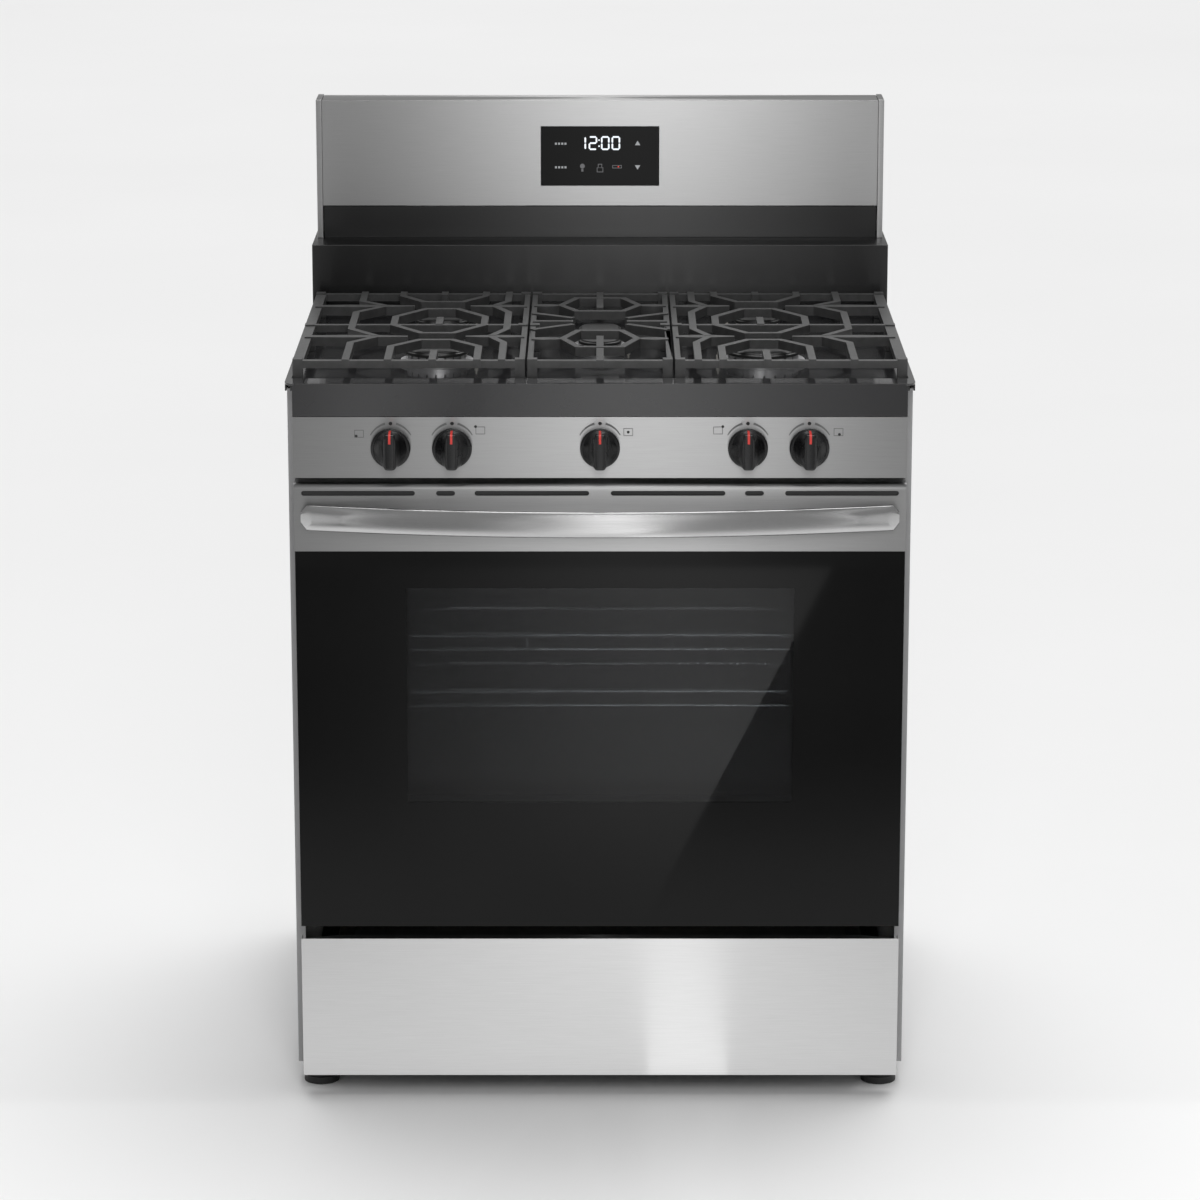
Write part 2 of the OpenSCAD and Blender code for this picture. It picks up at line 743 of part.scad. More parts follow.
// Bowed bar: its section swept along an arc that meets the door at both ends
module door_handle() {
    half_a = asin(handle_x / handle_R);
    c = 3.5;
    t = handle_t;
    h = handle_h / 2;
    color([0.75, 0.75, 0.75])
        translate([0, face_y - handle_reach + handle_R, handle_z])
            rotate([0, 0, 270 - half_a])
                rotate_extrude(angle = 2 * half_a, $fn = 360)
                    translate([handle_R - t, 0])
                        polygon([[0, -h + c], [c, -h], [t - c, -h], [t, -h + c],
                                 [t, h - c], [t - c, h], [c, h], [0, h - c]]);
}

// Short posts between the door and the handle, square to the handle's arc
module handle_spacers() {
    inner_R = handle_R - handle_t;
    turn = asin(335 / inner_R);
    color([0.3, 0.3, 0.3]) both_sides() difference() {
        translate([0, face_y - handle_reach + handle_R, handle_z])
            rotate([0, 0, turn - 90]) rod_x([inner_R - 20, inner_R], 0, 0, 8);
        block([200, 400], [face_y, face_y + 40], [700, 800]);
    }
}

module hinge_pins() color("silver") both_sides() rod_x(about(hinge_x, [-11, 11]), hinge_y, hinge_z, pin_r);

// ---- Drawer ----

module drawer_front() {
    depth = 18;
    pan_y = [face_y, face_y + depth];
    lip_x = 326;
    color([0.8, 0.8, 0.8]) {
        difference() {
            block([-front_x, front_x], pan_y, [drawer_z0, drawer_z1 - sheet]);
            block([-front_x + sheet, front_x - sheet], pan_y + [sheet, 1], [drawer_z0 + sheet, drawer_z1]);
        }
        // Top flange, with ends cut at an angle
        translate([0, 0, drawer_z1 - sheet]) linear_extrude(sheet)
            polygon([[-front_x, pan_y[0]], [front_x, pan_y[0]],
                [lip_x, pan_y[1] - 3], [-lip_x, pan_y[1] - 3]]);
    }
}

module drawer_box() {
    color([0.6, 0.6, 0.6]) difference() {
        block([-box_x, box_x], box_y, box_z);
        block([-box_x + sheet, box_x - sheet], box_y + [sheet, -sheet], box_z + [sheet, 1]);
    }
}

module drawer_glides() color("white") both_sides() block([box_x, box_x + 6], [-270, 250], [62.5, 68.5]);

// Channel on each side that guides the drawer's glide, with brackets to the side panel
module drawer_rails() {
    web_x = box_x + 7;
    color("silver") both_sides() {
        difference() {
            block([box_x + 1, web_x + 1.5], [-245, 330], [60, 71]);
            block([box_x, web_x], [-290, 340], [62, 69]);
        }
        for (y = [-215, 200]) block([web_x + 1.5, half_w - sheet], [y, y + 24], [60, 71]);
    }
}

// ---- Grates ----

// Tapered blade that points at a burner, from its root at p towards its tip at q
module blade(p, q) {
    step = q - p;
    l = norm(step);
    half = [[0, 5], [0.35 * l, 8.5], [0.7 * l, 7], [l, 3]];
    translate(p) rotate([0, 0, atan2(step[1], step[0])])
        layer(0.3, finger_h + 0.6) polygon(concat(half, reversed([for (c = half) [c[0], -c[1]]])));
}

// Outer frame between the limits xs and ys, whose side bars are ws wide. Its posts stand on the well
// floor and reach the top of the grate.
module grate_frame(xs, ys, ws) {
    half = post_w / 2;
    layer(rail_drop, rail_h) difference() {
        translate([xs[0], ys[0]]) square([xs[1] - xs[0], ys[1] - ys[0]]);
        translate([xs[0] + ws[0], ys[0] + rail_w])
            square([xs[1] - xs[0] - ws[0] - ws[1], ys[1] - ys[0] - 2 * rail_w]);
    }
    for (x = [xs[0] + half, xs[1] - half], y = [ys[0] + half, grate_mid, ys[1] - half])
        block(about(x, [-half, half]), about(y, [-half, half]), [well_z + grate_gap, grate_z]);
}

// Right-hand grate, over a front and a rear burner
module side_grate() {
    c = burner_x;
    x0 = side_grate_x[0] + 3;
    x1 = side_grate_x[1] - 5;
    y0 = grate_y[0] - nub;
    y1 = grate_y[1] + nub;
    grate_frame(side_grate_x, grate_y, [inner_w, frame_w]);
    // Long octagon between the burners
    ring([[c - 20, -85], [c + 20, -85], [c + 57, -29], [c + 57, 29],
        [c + 20, 85], [c - 20, 85], [c - 57, 29], [c - 57, -29]]);
    // Half octagons around the outer side of each burner
    bar([[c - 54, y0], [c - 54, -175], [c - 20, -131], [c + 20, -131], [c + 54, -175], [c + 54, y0]]);
    bar([[c - 54, y1], [c - 54, 180], [c - 26, 137], [c + 26, 137], [c + 54, 180], [c + 54, y1]]);
    // Short fingers on the burners' line
    bar([[c, y0], [c, -200]]);
    bar([[c, grate_mid], [c, 25]]);
    bar([[c, y1], [c, 188]]);
    // Blades from both sides, over each burner
    for (y = [-burner_y, burner_y]) {
        blade([x0, y], [c - 36, y]);
        blade([x1, y], [c + 36, y]);
    }
    // Brackets on the outer side, then on the inner side
    for (b = [[105, 109, 76], [-84, -86, -68]]) {
        bar([[c + b[0], y0], [c + b[0], -150], [c + b[2], -111]]);
        bar([[c + b[2], -103], [c + b[1], -57], [c + b[1], 61], [c + b[2], 103]]);
        bar([[c + b[0], y1], [c + b[0], 141], [c + b[2], 111]]);
    }
    // Bar across the middle
    bar([[x0, grate_mid], [x1, grate_mid]], drop = 0.9, h = finger_h - 2);
}
module grate_right() color([0.09, 0.09, 0.09]) side_grate();
module grate_left() color([0.09, 0.09, 0.09]) mirror([1, 0, 0]) side_grate();

// Middle grate, over the long burner
module grate_middle() {
    x1 = mid_grate_x - 3;
    y0 = grate_y[0] - nub;
    y1 = grate_y[1] + nub;
    color([0.09, 0.09, 0.09]) {
        grate_frame([-mid_grate_x, mid_grate_x], grate_y, [inner_w, inner_w]);
        bar([[0, y0], [0, -100]], drop = 0.9, h = finger_h - 2);
        bar([[0, 98], [0, y1]], drop = 0.9, h = finger_h - 2);
        // Hexagons in front of the burner and behind it
        ring([[-27, -178], [27, -178], [46, -122], [27, -68], [-27, -68], [-46, -122]]);
        ring([[30, 165], [-30, 165], [-50, 112], [-30, 70], [30, 70], [50, 112]]);
        both_sides() {
            blade([x1, -122], [44, -122]);
            blade([x1, 112], [48, 112]);
            // Fingers towards the burner's four corners, and one to its middle
            bar([[x1, -61], [34, -24]]);
            bar([[x1, 55], [34, 20]]);
            bar([[x1, -2], [34, -2]]);
        }
    }
}

base_frame();
levelling_legs();
side_panel_left();
side_panel_right();
rear_panel();
front_frame();
oven_liner();
oven_insulation();
door_gasket();
oven_floor();
bake_burner();
broil_burner();
rack_guides();
oven_racks();
oven_lamp();
burner_box();
cooktop();
burner_bases();
burner_caps();
igniters();
gas_manifold();
gas_valves();
gas_tubes();
gas_regulator();
cord_bushing();
control_panel();
splash_panel();
backguard_head();
backguard_end_caps();
display_glass();
control_board();
backguard_cover();
hinge_arms();
drawer_rails();
rear_screws();
door_glass();
door_trim();
door_frame();
door_liner();
door_inner_glass();
door_insulation();
door_handle();
handle_spacers();
hinge_pins();
drawer_front();
drawer_box();
drawer_glides();
grate_left();
grate_middle();
grate_right();
stem(knob_x[0]);  // stem_1
stem(knob_x[1]);  // stem_2
stem(knob_x[2]);  // stem_3
stem(knob_x[3]);  // stem_4
stem(knob_x[4]);  // stem_5
knob(knob_x[0]);  // knob_1
knob(knob_x[1]);  // knob_2
knob(knob_x[2]);  // knob_3
knob(knob_x[3]);  // knob_4
knob(knob_x[4]);  // knob_5
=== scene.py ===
import math

import bmesh
import bpy
from mathutils import Matrix, Vector
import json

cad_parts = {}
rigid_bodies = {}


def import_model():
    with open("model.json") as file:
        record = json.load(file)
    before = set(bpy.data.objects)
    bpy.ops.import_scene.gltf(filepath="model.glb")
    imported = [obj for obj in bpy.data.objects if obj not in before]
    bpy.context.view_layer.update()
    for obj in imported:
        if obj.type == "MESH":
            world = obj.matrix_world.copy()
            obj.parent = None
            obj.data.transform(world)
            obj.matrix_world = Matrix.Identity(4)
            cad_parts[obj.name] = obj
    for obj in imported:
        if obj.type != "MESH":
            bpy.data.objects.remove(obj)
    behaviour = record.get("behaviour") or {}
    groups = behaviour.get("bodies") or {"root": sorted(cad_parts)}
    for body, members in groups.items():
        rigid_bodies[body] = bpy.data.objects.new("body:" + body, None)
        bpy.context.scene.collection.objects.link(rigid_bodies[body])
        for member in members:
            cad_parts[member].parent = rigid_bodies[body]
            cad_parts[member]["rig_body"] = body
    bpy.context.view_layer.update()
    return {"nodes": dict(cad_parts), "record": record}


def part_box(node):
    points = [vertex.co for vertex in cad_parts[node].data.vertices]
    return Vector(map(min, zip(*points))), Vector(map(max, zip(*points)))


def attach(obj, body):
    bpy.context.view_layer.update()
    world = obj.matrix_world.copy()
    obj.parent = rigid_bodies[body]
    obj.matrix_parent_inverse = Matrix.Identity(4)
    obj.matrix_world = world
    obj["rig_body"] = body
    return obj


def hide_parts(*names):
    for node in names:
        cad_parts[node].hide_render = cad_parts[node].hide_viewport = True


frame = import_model()

scene = bpy.context.scene
nodes = frame["nodes"]
KNOBS = range(1, 6)
PRINT = 0.0001  # thickness of a mark on the clock, in metres
SKY_LIGHT = 0.32
SKY_SEEN = 0.93


# ---- Node building ----

class Shader:
    """A material with one Principled shader, and short calls that add the nodes that feed it."""

    def __init__(self, name, **inputs):
        self.mat = bpy.data.materials.new(name)
        self.mat.use_nodes = True
        self.tree = self.mat.node_tree
        self.bsdf = self.tree.nodes["Principled BSDF"]
        self.where = self.node("ShaderNodeTexCoord").outputs["Object"]
        for key, value in inputs.items():
            self.bsdf.inputs[key.replace("_", " ")].default_value = value

    def node(self, kind, **settings):
        made = self.tree.nodes.new(kind)
        for key, value in settings.items():
            if key in made.inputs:
                made.inputs[key].default_value = value
            else:
                setattr(made, key, value)
        return made

    def link(self, out, into):
        self.tree.links.new(out, into)

    def noise(self, scale, stretch=(1, 1, 1), detail=4.0, rough=0.55):
        """Noise in the object's own space; stretch divides its size along each axis."""
        place = self.node("ShaderNodeMapping")
        place.inputs["Scale"].default_value = stretch
        self.link(self.where, place.inputs["Vector"])
        made = self.node("ShaderNodeTexNoise")
        made.inputs["Scale"].default_value = scale
        made.inputs["Detail"].default_value = detail
        made.inputs["Roughness"].default_value = rough
        self.link(place.outputs["Vector"], made.inputs["Vector"])
        return made.outputs["Fac"]

    def speckle(self, scale):
        cells = self.node("ShaderNodeTexVoronoi")
        cells.inputs["Scale"].default_value = scale
        self.link(self.where, cells.inputs["Vector"])
        return cells.outputs["Distance"]

    def ramp(self, fac, stops):
        """Colour ramp; each stop is (position, grey or colour)."""
        made = self.node("ShaderNodeValToRGB")
        items = made.color_ramp.elements
        while len(items) < len(stops):
            items.new(0.5)
        for item, (pos, value) in zip(items, stops):
            item.position = pos
            rgb = (value,) * 3 if isinstance(value, (int, float)) else value
            item.color = (*rgb, 1)
        self.link(fac, made.inputs["Fac"])
        return made.outputs["Color"]

    def spread(self, fac, low, high):
        made = self.node("ShaderNodeMapRange")
        made.inputs["To Min"].default_value = low
        made.inputs["To Max"].default_value = high
        self.link(fac, made.inputs["Value"])
        return made.outputs["Result"]

    def colour(self, out):
        self.link(out, self.bsdf.inputs["Base Color"])

    def brushed(self, aniso):
        """Highlights drawn out across a grain that runs round the Z axis."""
        self.bsdf.inputs["Anisotropic"].default_value = aniso
        self.bsdf.inputs["Anisotropic Rotation"].default_value = 0.25
        tangent = self.node("ShaderNodeTangent", direction_type="RADIAL", axis="Z")
        self.link(tangent.outputs["Tangent"], self.bsdf.inputs["Tangent"])

    def mottle(self, fac, colour, low, high):
        """A colour that varies between two multiples of itself."""
        dark, pale = (tuple(min(c * k, 1) for c in colour) for k in (low, high))
        self.colour(self.ramp(fac, [(0.3, dark), (0.7, pale)]))

    def roughness(self, fac, low, high):
        self.link(self.spread(fac, low, high), self.bsdf.inputs["Roughness"])

    def bump(self, fac, depth, strength):
        """Bumps of the given depth in metres; a second call adds to the first."""
        made = self.node("ShaderNodeBump")
        made.inputs["Distance"].default_value = depth
        made.inputs["Strength"].default_value = strength
        self.link(fac, made.inputs["Height"])
        feed = self.bsdf.inputs["Normal"]
        if feed.links:
            self.link(feed.links[0].from_socket, made.inputs["Normal"])
        self.link(made.outputs["Normal"], feed)


# ---- Materials ----

def stainless(name, grey, rough=(0.26, 0.34)):
    """Steel brushed along X: the grain is noise drawn out along it. The grey is set per copy and carries
    painted light and shade.
    """
    s = Shader(name, Metallic=1.0)
    grain = s.noise(22, (1, 60, 60), 6, 0.7)
    cloud = s.noise(3.0, detail=2)
    s.colour(s.ramp(grain, [(0.25, grey * 0.92), (0.75, grey * 1.04)]))
    s.roughness(cloud, *rough)
    s.bump(grain, 0.00002, 0.35)
    s.brushed(0.85)
    return s.mat


def enamel(name, grey, rough=(0.10, 0.2), fleck=0.0, satin=0.0):
    """Vitreous enamel with a slight orange peel: glossy and deep, or satin, or with pale flecks."""
    s = Shader(name, Coat_Weight=0.0 if satin else 0.6, Coat_Roughness=0.06)
    if satin:
        s.bsdf.inputs["Specular IOR Level"].default_value = 0.8
        s.brushed(satin)
    peel = s.noise(140, detail=2)
    base = (grey, grey, grey * 1.06)
    if fleck:
        s.colour(s.ramp(s.speckle(420), [(0.0, fleck), (0.16, fleck), (0.2, base)]))
    else:
        s.mottle(s.noise(9), base, 1, 1.25)
    s.roughness(s.noise(6), *rough)
    s.bump(peel, 0.00002, 0.5)
    return s.mat


def cast_iron(name, grey=0.045):
    """Matt enamelled casting with fine grit and broad unevenness."""
    s = Shader(name, Coat_Weight=0.4, Coat_Roughness=0.28)
    grit = s.noise(900, detail=3)
    lumps = s.noise(90, detail=3)
    s.colour(s.ramp(lumps, [(0.3, grey * 0.8), (0.7, grey * 1.3)]))
    s.roughness(grit, 0.38, 0.55)
    s.bump(grit, 0.00006, 0.6)
    s.bump(lumps, 0.0002, 0.4)
    return s.mat


def plastic(name, colour, rough):
    """Moulded plastic with a fine spark-eroded grain."""
    s = Shader(name)
    tone = s.noise(25)
    s.mottle(tone, colour, 0.9, 1.12)
    s.roughness(tone, *rough)
    s.bump(s.noise(1800, detail=2), 0.00003, 0.5)
    return s.mat


def metal(name, colour, rough=(0.3, 0.45), scale=60, depth=0.00005):
    """Cast, drawn or plated metal with a fine uneven surface."""
    s = Shader(name, Metallic=1.0)
    tone = s.noise(scale)
    s.mottle(tone, colour, 0.85, 1.1)
    s.roughness(tone, *rough)
    s.bump(s.noise(scale * 8), depth, 0.5)
    return s.mat


def zinc(name):
    """Hot-dip zinc with its pattern of crystals."""
    s = Shader(name, Metallic=0.85)
    cells = s.node("ShaderNodeTexVoronoi")
    cells.inputs["Scale"].default_value = 70
    s.link(s.where, cells.inputs["Vector"])
    s.colour(s.ramp(cells.outputs["Color"], [(0.2, 0.47), (0.8, 0.53)]))
    s.roughness(cells.outputs["Color"], 0.4, 0.5)
    s.bump(cells.outputs["Distance"], 0.00002, 0.3)
    return s.mat


def paint(name, colour):
    """Sprayed coating with a fine orange peel."""
    s = Shader(name, Coat_Weight=0.2, Coat_Roughness=0.25)
    s.mottle(s.noise(12), colour, 0.95, 1.05)
    s.roughness(s.noise(30), 0.35, 0.48)
    s.bump(s.noise(350, detail=2), 0.00004, 0.6)
    return s.mat


def black_glass(name, grey):
    """Polished glass printed black on its back."""
    s = Shader(name, IOR=1.52, Specular_IOR_Level=0.14)
    s.colour(s.ramp(s.noise(4), [(0.3, grey), (0.7, grey * 1.4)]))
    s.roughness(s.noise(3), 0.03, 0.05)
    return s.mat


def tinted_glass(name, tint, rough=0.0, ior=1.5):
    """Clear glass with an even tint. A low ior stands for a coating that cuts the reflections."""
    s = Shader(name, IOR=ior, Transmission_Weight=1.0, Roughness=rough)
    s.mottle(s.noise(3), tint, 0.96, 1)
    return s.mat


def fibre(name, colour, scale=260, depth=0.0006):
    """Loose or woven glass fibre."""
    s = Shader(name, Roughness=0.95)
    strands = s.noise(scale, (1, 0.15, 1), 6, 0.75)
    s.mottle(strands, colour, 0.6, 1)
    s.bump(strands, depth, 1.0)
    return s.mat


def lit(name, colour, strength):
    """A mark that glows from behind, a little uneven like a diffuser."""
    s = Shader(name, Base_Color=(*(c * 0.4 for c in colour), 1), Roughness=0.4)
    uneven = s.ramp(s.noise(160), [(0.2, tuple(c * 0.8 for c in colour)), (0.8, colour)])
    s.link(uneven, s.bsdf.inputs["Emission Color"])
    s.bsdf.inputs["Emission Strength"].default_value = strength
    return s.mat


def ink(name, colour):
    """Screen-printed ink: satin, with a slightly uneven edge to its tone."""
    s = Shader(name)
    s.mottle(s.noise(220), colour, 0.85, 1)
    s.roughness(s.noise(90), 0.4, 0.55)
    return s.mat


# The four stainless copies are one steel. Their different greys are painted light and shade: the grey is
# lowered on the control panel, door trim and head, and raised on the handle and drawer.
STEEL_FRONT_PAINTED_SHADE = stainless("stainless_front_painted_shade", 0.36)
STEEL_HEAD_PAINTED_SHADE = stainless("stainless_head_painted_shade", 0.48)
STEEL_DRAWER_PAINTED_LIGHT = stainless("stainless_drawer_painted_light", 0.59)
STEEL_HANDLE_PAINTED_LIGHT = stainless("stainless_handle_painted_light", 0.5, rough=(0.2, 0.26))
COOKTOP_ENAMEL = enamel("cooktop_enamel", 0.02)
APRON_ENAMEL = enamel("splash_enamel", 0.002, (0.2, 0.24), satin=0.9)
FRAME_BLACK = paint("frame_black", (0.012, 0.012, 0.013))
OVEN_ENAMEL = enamel("oven_enamel", 0.018, (0.2, 0.3), 0.12)
IRON = cast_iron("cast_iron")
CAP_ENAMEL = cast_iron("burner_cap_enamel", 0.018)
ALUMINIUM = metal("burner_aluminium", (0.72, 0.72, 0.73))
BRASS = metal("valve_brass", (0.72, 0.56, 0.28))
PLATED = metal("plated_steel", (0.58, 0.58, 0.6), (0.25, 0.38))
CHROME = metal("rack_chrome", (0.75, 0.75, 0.77), (0.08, 0.16), 30, 0.00001)
ZINC = zinc("galvanised_sheet")
SIDE_PAINT = paint("side_grey_paint", (0.42, 0.42, 0.425))
CHASSIS_PAINT = paint("chassis_paint", (0.05, 0.05, 0.052))
KNOB_BLACK = plastic("knob_black", (0.004, 0.004, 0.0045), (0.22, 0.32))
FOOT_BLACK = plastic("foot_black", (0.015, 0.015, 0.015), (0.45, 0.6))
NYLON = plastic("glide_nylon", (0.75, 0.73, 0.68), (0.4, 0.5))
CERAMIC = plastic("igniter_ceramic", (0.82, 0.8, 0.74), (0.15, 0.25))
BOARD = plastic("board_green", (0.02, 0.12, 0.05), (0.35, 0.5))
DOOR_BLACK = black_glass("door_frit", 0.005)
DISPLAY_BLACK = black_glass("display_black", 0.008)
DOOR_TINT = tinted_glass("door_glass_tint", (0.22, 0.225, 0.23), ior=1.29)
INNER_CLEAR = tinted_glass("inner_pane_clear", (0.86, 0.88, 0.88))
LAMP_CLEAR = tinted_glass("lamp_cover", (0.95, 0.94, 0.9), 0.15)
WOOL = fibre("glass_wool", (0.72, 0.62, 0.32))
BRAID = fibre("gasket_braid", (0.1, 0.1, 0.1), 500, 0.0004)
RED_INK = ink("pointer_red", (0.75, 0.03, 0.02))
BLACK_INK = ink("panel_black_ink", (0.01, 0.01, 0.01))
GREY_INK = ink("panel_grey_ink", (0.16, 0.16, 0.16))
DIGIT_LIGHT = lit("clock_digits", (0.85, 0.9, 0.95), 1.1)
ICON_LIGHT = lit("touch_icons", (0.6, 0.62, 0.64), 0.4)
DIM_LIGHT = lit("dim_icons", (0.5, 0.5, 0.52), 0.08)
RED_LIGHT = lit("status_red", (0.9, 0.05, 0.03), 1.0)


# ---- Mesh helpers ----

def adopt(name, mesh, material, body):
    """Makes an object of a mesh, gives it its material, and has it ride a body."""
    obj = bpy.data.objects.new(name, mesh)
    scene.collection.objects.link(obj)
    mesh.materials.clear()
    mesh.materials.append(material)
    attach(obj, body)
    return obj


def smooth(mesh, angle):
    mesh.shade_smooth()
    mesh.set_sharp_from_angle(angle=math.radians(angle))


def from_bmesh(name, bm, material, body, angle=38, bevel=0.0, segments=2):
    """Closes a bmesh into a piece, with its edges rounded if a bevel is given."""
    bmesh.ops.recalc_face_normals(bm, faces=bm.faces)
    mesh = bpy.data.meshes.new(name)
    bm.to_mesh(mesh)
    bm.free()
    obj = adopt(name, mesh, material, body)
    if bevel:
        rounded(obj, bevel, segments)
    smooth(obj.data, angle)
    return obj


def rounded(obj, width, segments):
    """Rounds an object's edges and keeps the result as its mesh."""
    mod = obj.modifiers.new("round", "BEVEL")
    mod.width = width
    mod.segments = segments
    mod.limit_method = "ANGLE"
    mod.angle_limit = math.radians(30)
    settle(obj)


def settle(obj):
    """Turns an object's modifiers into mesh."""
    made = bpy.data.meshes.new_from_object(obj.evaluated_get(bpy.context.evaluated_depsgraph_get()))
    obj.modifiers.clear()
    old = obj.data
    obj.data = made
    bpy.data.meshes.remove(old)


def body_of(node):
    return nodes[node]["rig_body"]


def slot_of(node):
    for row in frame["record"]["subparts"]:
        if row["node"] == node:
            return row["material_slot"]


def middle(node):
    """Middle of a node's box, as X and Z."""
    lo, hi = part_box(node)
    return (lo.x + hi.x) / 2, (lo.z + hi.z) / 2


def copy_bmesh(node):
    """The node's mesh as clean, joined, flat-faced geometry."""
    bm = bmesh.new()
    bm.from_mesh(nodes[node].data)
    bmesh.ops.remove_doubles(bm, verts=bm.verts, dist=0.00001)
    bmesh.ops.dissolve_limit(bm, angle_limit=math.radians(0.5), verts=bm.verts, edges=bm.edges)
    return bm


def finished(node, material, bevel=0.0006, segments=2):
    """A finished copy of a CAD node, with rounded edges, that stands in its place."""
    obj = from_bmesh(node + "_finish", copy_bmesh(node), material, body_of(node),
                     bevel=bevel, segments=segments)
    even = obj.modifiers.new("even", "WEIGHTED_NORMAL")
    even.keep_sharp = True
    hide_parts(node)


def repaint(node, material):
    """A new material on a CAD node that stays as it is."""
    data = nodes[node].data
    data.materials.clear()
    data.materials.append(material)


def add_box(bm, lo, hi):
    size = [h - l for l, h in zip(lo, hi)]
    centre = [(l + h) / 2 for l, h in zip(lo, hi)]
    bmesh.ops.create_cube(bm, size=1, matrix=Matrix.Translation(centre) @ Matrix.Diagonal((*size, 1)))


def add_loft(bm, rings):
    """Closed skin over rings of points, each with the same number of points."""
    rows = [[bm.verts.new(p) for p in ring] for ring in rings]
    count = len(rows[0])
    for a, b in zip(rows, rows[1:]):
        for i in range(count):
            j = (i + 1) % count
            bm.faces.new((a[i], a[j], b[j], b[i]))
    bm.faces.new(list(reversed(rows[0])))
    bm.faces.new(rows[-1])


def oval(w, h, n, power=2.0):
    """Points of a superellipse with half sizes w and h."""
    pts = []
    for i in range(n):
        a = 2 * math.pi * (i + 0.5) / n
        c, s = math.cos(a), math.sin(a)
        pts.append((w * math.copysign(abs(c) ** (2 / power), c), h * math.copysign(abs(s) ** (2 / power), s)))
    return pts


def add_plate(bm, outline, y, depth):
    """A thin printed mark on a face that looks along -Y: outline is in X and Z."""
    add_loft(bm, [[(x, y, z) for x, z in outline], [(x, y - depth, z) for x, z in outline]])


def add_patch(bm, cx, cz, w, h, y, depth):
    """A printed rectangle."""
    x, z = w / 2, h / 2
    add_plate(bm, [(cx - x, cz - z), (cx + x, cz - z), (cx + x, cz + z), (cx - x, cz + z)], y, depth)


def add_frame(bm, cx, cz, w, h, t, y, depth):
    """A rectangular outline drawn with lines of width t."""
    for side in (-1, 1):
        add_patch(bm, cx + side * (w - t) / 2, cz, t, h, y, depth)
    for side in (-1, 1):
        add_patch(bm, cx, cz + side * (h - t) / 2, w - 2 * t, t, y, depth)


def add_dot(bm, cx, cz, r, y, depth, n=24):
    add_plate(bm, [(cx + x, cz + z) for x, z in oval(r, r, n)], y, depth)


# ---- Camera, lights and floor ----

def make_camera():
    """Long lens, looking down on the cooktop at about fourteen degrees."""
    distance, height, look_down = 5.447, 1.916, 13.97
    data = bpy.data.cameras.new("camera")
    data.sensor_width = 36
    data.lens = 130.8
    cam = bpy.data.objects.new("camera", data)
    scene.collection.objects.link(cam)
    cam.location = (0, -distance, height)
    cam.rotation_euler = (math.radians(90 - look_down), 0, 0)
    scene.camera = cam


def area_light(name, where, aim, size, power):
    data = bpy.data.lights.new(name, "AREA")
    data.shape = "RECTANGLE"
    data.size, data.size_y = size
    data.energy = power
    obj = bpy.data.objects.new(name, data)
    scene.collection.objects.link(obj)
    obj.location = where
    obj.rotation_euler = (Vector(aim) - Vector(where)).to_track_quat("-Z", "Y").to_euler()


def stage_mesh(name, bm, material):
    mesh = bpy.data.meshes.new(name)
    bm.to_mesh(mesh)
    bm.free()
    mesh.materials.append(material)
    obj = bpy.data.objects.new(name, mesh)
    scene.collection.objects.link(obj)
    return obj


def glow(name, strength, centre, half, base, near=None):
    """Soft light that swells from its base level at both sides towards a line at x = centre.
    If near is given, it turns into an even light of that strength close to the object."""
    s = Shader(name)
    s.tree.nodes.remove(s.bsdf)
    light = s.node("ShaderNodeEmission")
    split = s.node("ShaderNodeSeparateXYZ")
    s.link(s.where, split.inputs[0])
    reach = s.node("ShaderNodeMapRange")
    reach.inputs["From Min"].default_value = centre - half
    reach.inputs["From Max"].default_value = centre + half
    s.link(split.outputs["X"], reach.inputs["Value"])
    bell = s.node("ShaderNodeValToRGB")
    bell.color_ramp.interpolation = "B_SPLINE"
    items = bell.color_ramp.elements
    for pos, value in ((0.25, base + 0.1), (0.5, 1.3), (0.75, base + 0.1)):
        items.new(pos).color = (value, value, value, 1)
    items[0].color = items[-1].color = (base, base, base, 1)
    s.link(reach.outputs["Result"], bell.inputs["Fac"])
    power = s.node("ShaderNodeMath", operation="MULTIPLY")
    power.inputs[1].default_value = strength
    s.link(bell.outputs["Color"], power.inputs[0])
    level = power.outputs["Value"]
    if near is not None:
        fade = s.node("ShaderNodeMapRange", interpolation_type="SMOOTHERSTEP")
        fade.inputs["From Min"].default_value = -2.0
        fade.inputs["From Max"].default_value = -0.8
        s.link(split.outputs["Y"], fade.inputs["Value"])
        blend = s.node("ShaderNodeMix")
        blend.inputs["B"].default_value = near
        s.link(fade.outputs["Result"], blend.inputs["Factor"])
        s.link(level, blend.inputs["A"])
        level = blend.outputs["Result"]
    s.link(level, light.inputs["Strength"])
    s.link(light.outputs["Emission"], s.tree.nodes["Material Output"].inputs["Surface"])
    return s.mat


def reflector(name, corners, material):
    """A light panel that is only seen as a sheen on glossy surfaces."""
    bm = bmesh.new()
    bm.faces.new([bm.verts.new(p) for p in corners])
    obj = stage_mesh(name, bm, material)
    obj.visible_camera = obj.visible_diffuse = obj.visible_shadow = False
    obj.visible_transmission = False


